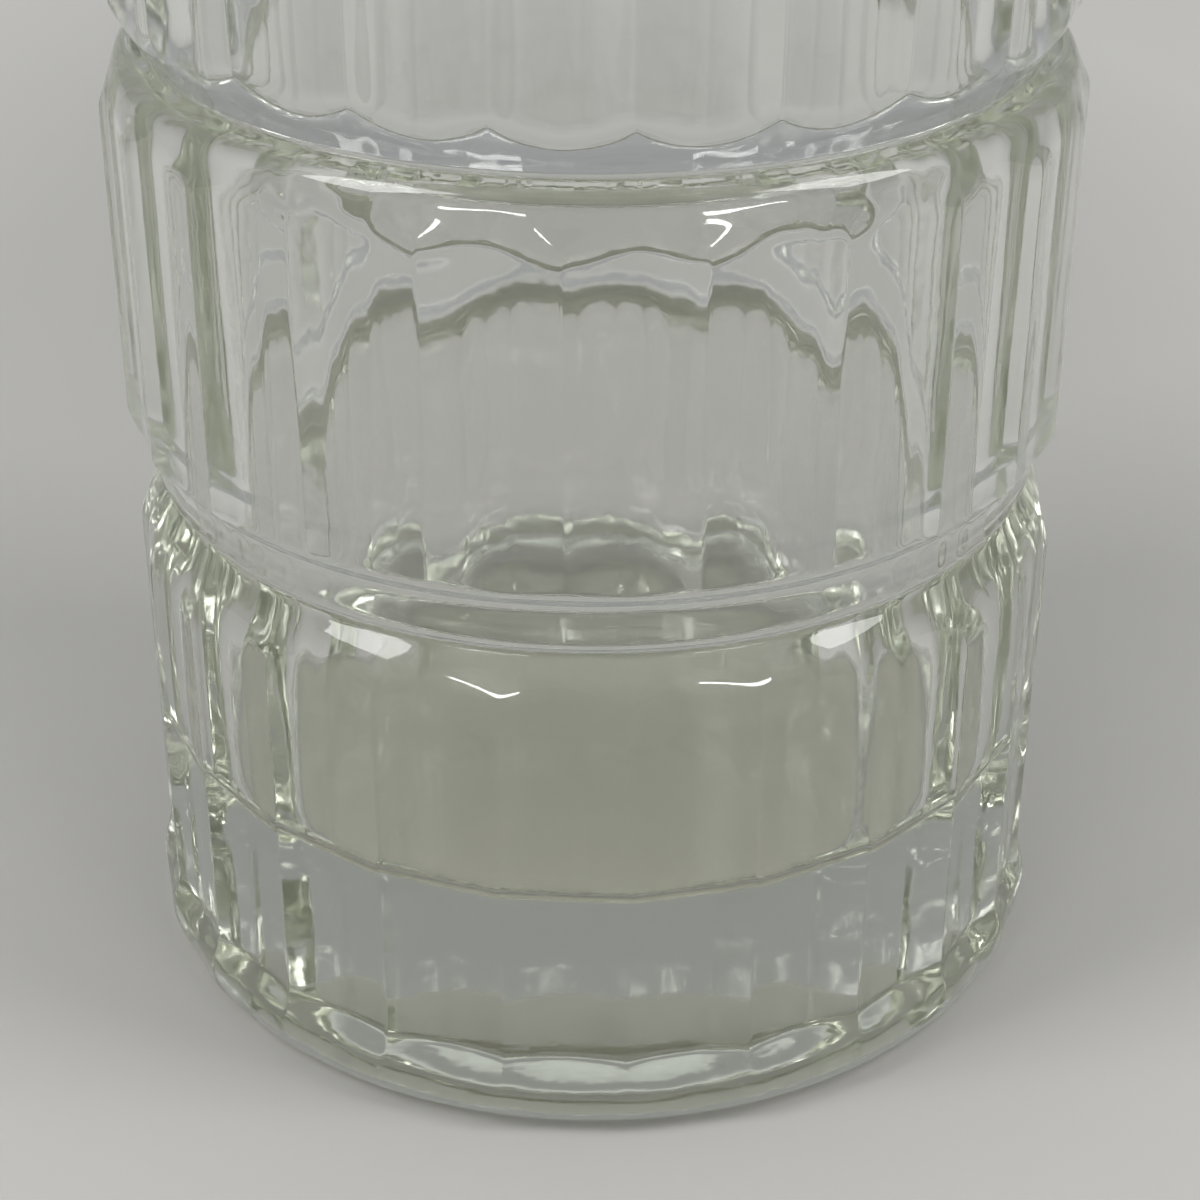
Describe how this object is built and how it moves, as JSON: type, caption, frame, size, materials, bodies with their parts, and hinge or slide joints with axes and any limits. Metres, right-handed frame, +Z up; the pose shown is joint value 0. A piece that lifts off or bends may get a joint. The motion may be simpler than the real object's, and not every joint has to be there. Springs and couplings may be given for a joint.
{
  "type": "mixing glass",
  "caption": "Clear pressed-glass mixing glass with fluted tiers, V-grooved rings, a thick solid base and a pouring lip, for stirring and pouring drinks.",
  "frame": {"origin": "centre of the underside, in the plane of the ring that the glass stands on", "axes": "+Z up along the axis of the glass, +X towards the pouring lip"},
  "size_m": [0.0958, 0.0924, 0.152],
  "materials": {
    "clear_glass": "fire-polished pressed soda-lime glass, smooth, with a faint grey-green cast where it is thick"
  },
  "bodies": {
    "root": {"base_tier": "clear_glass", "middle_tier": "clear_glass", "upper_tier": "clear_glass", "pouring_rim": "clear_glass"}
  },
  "joints": []
}
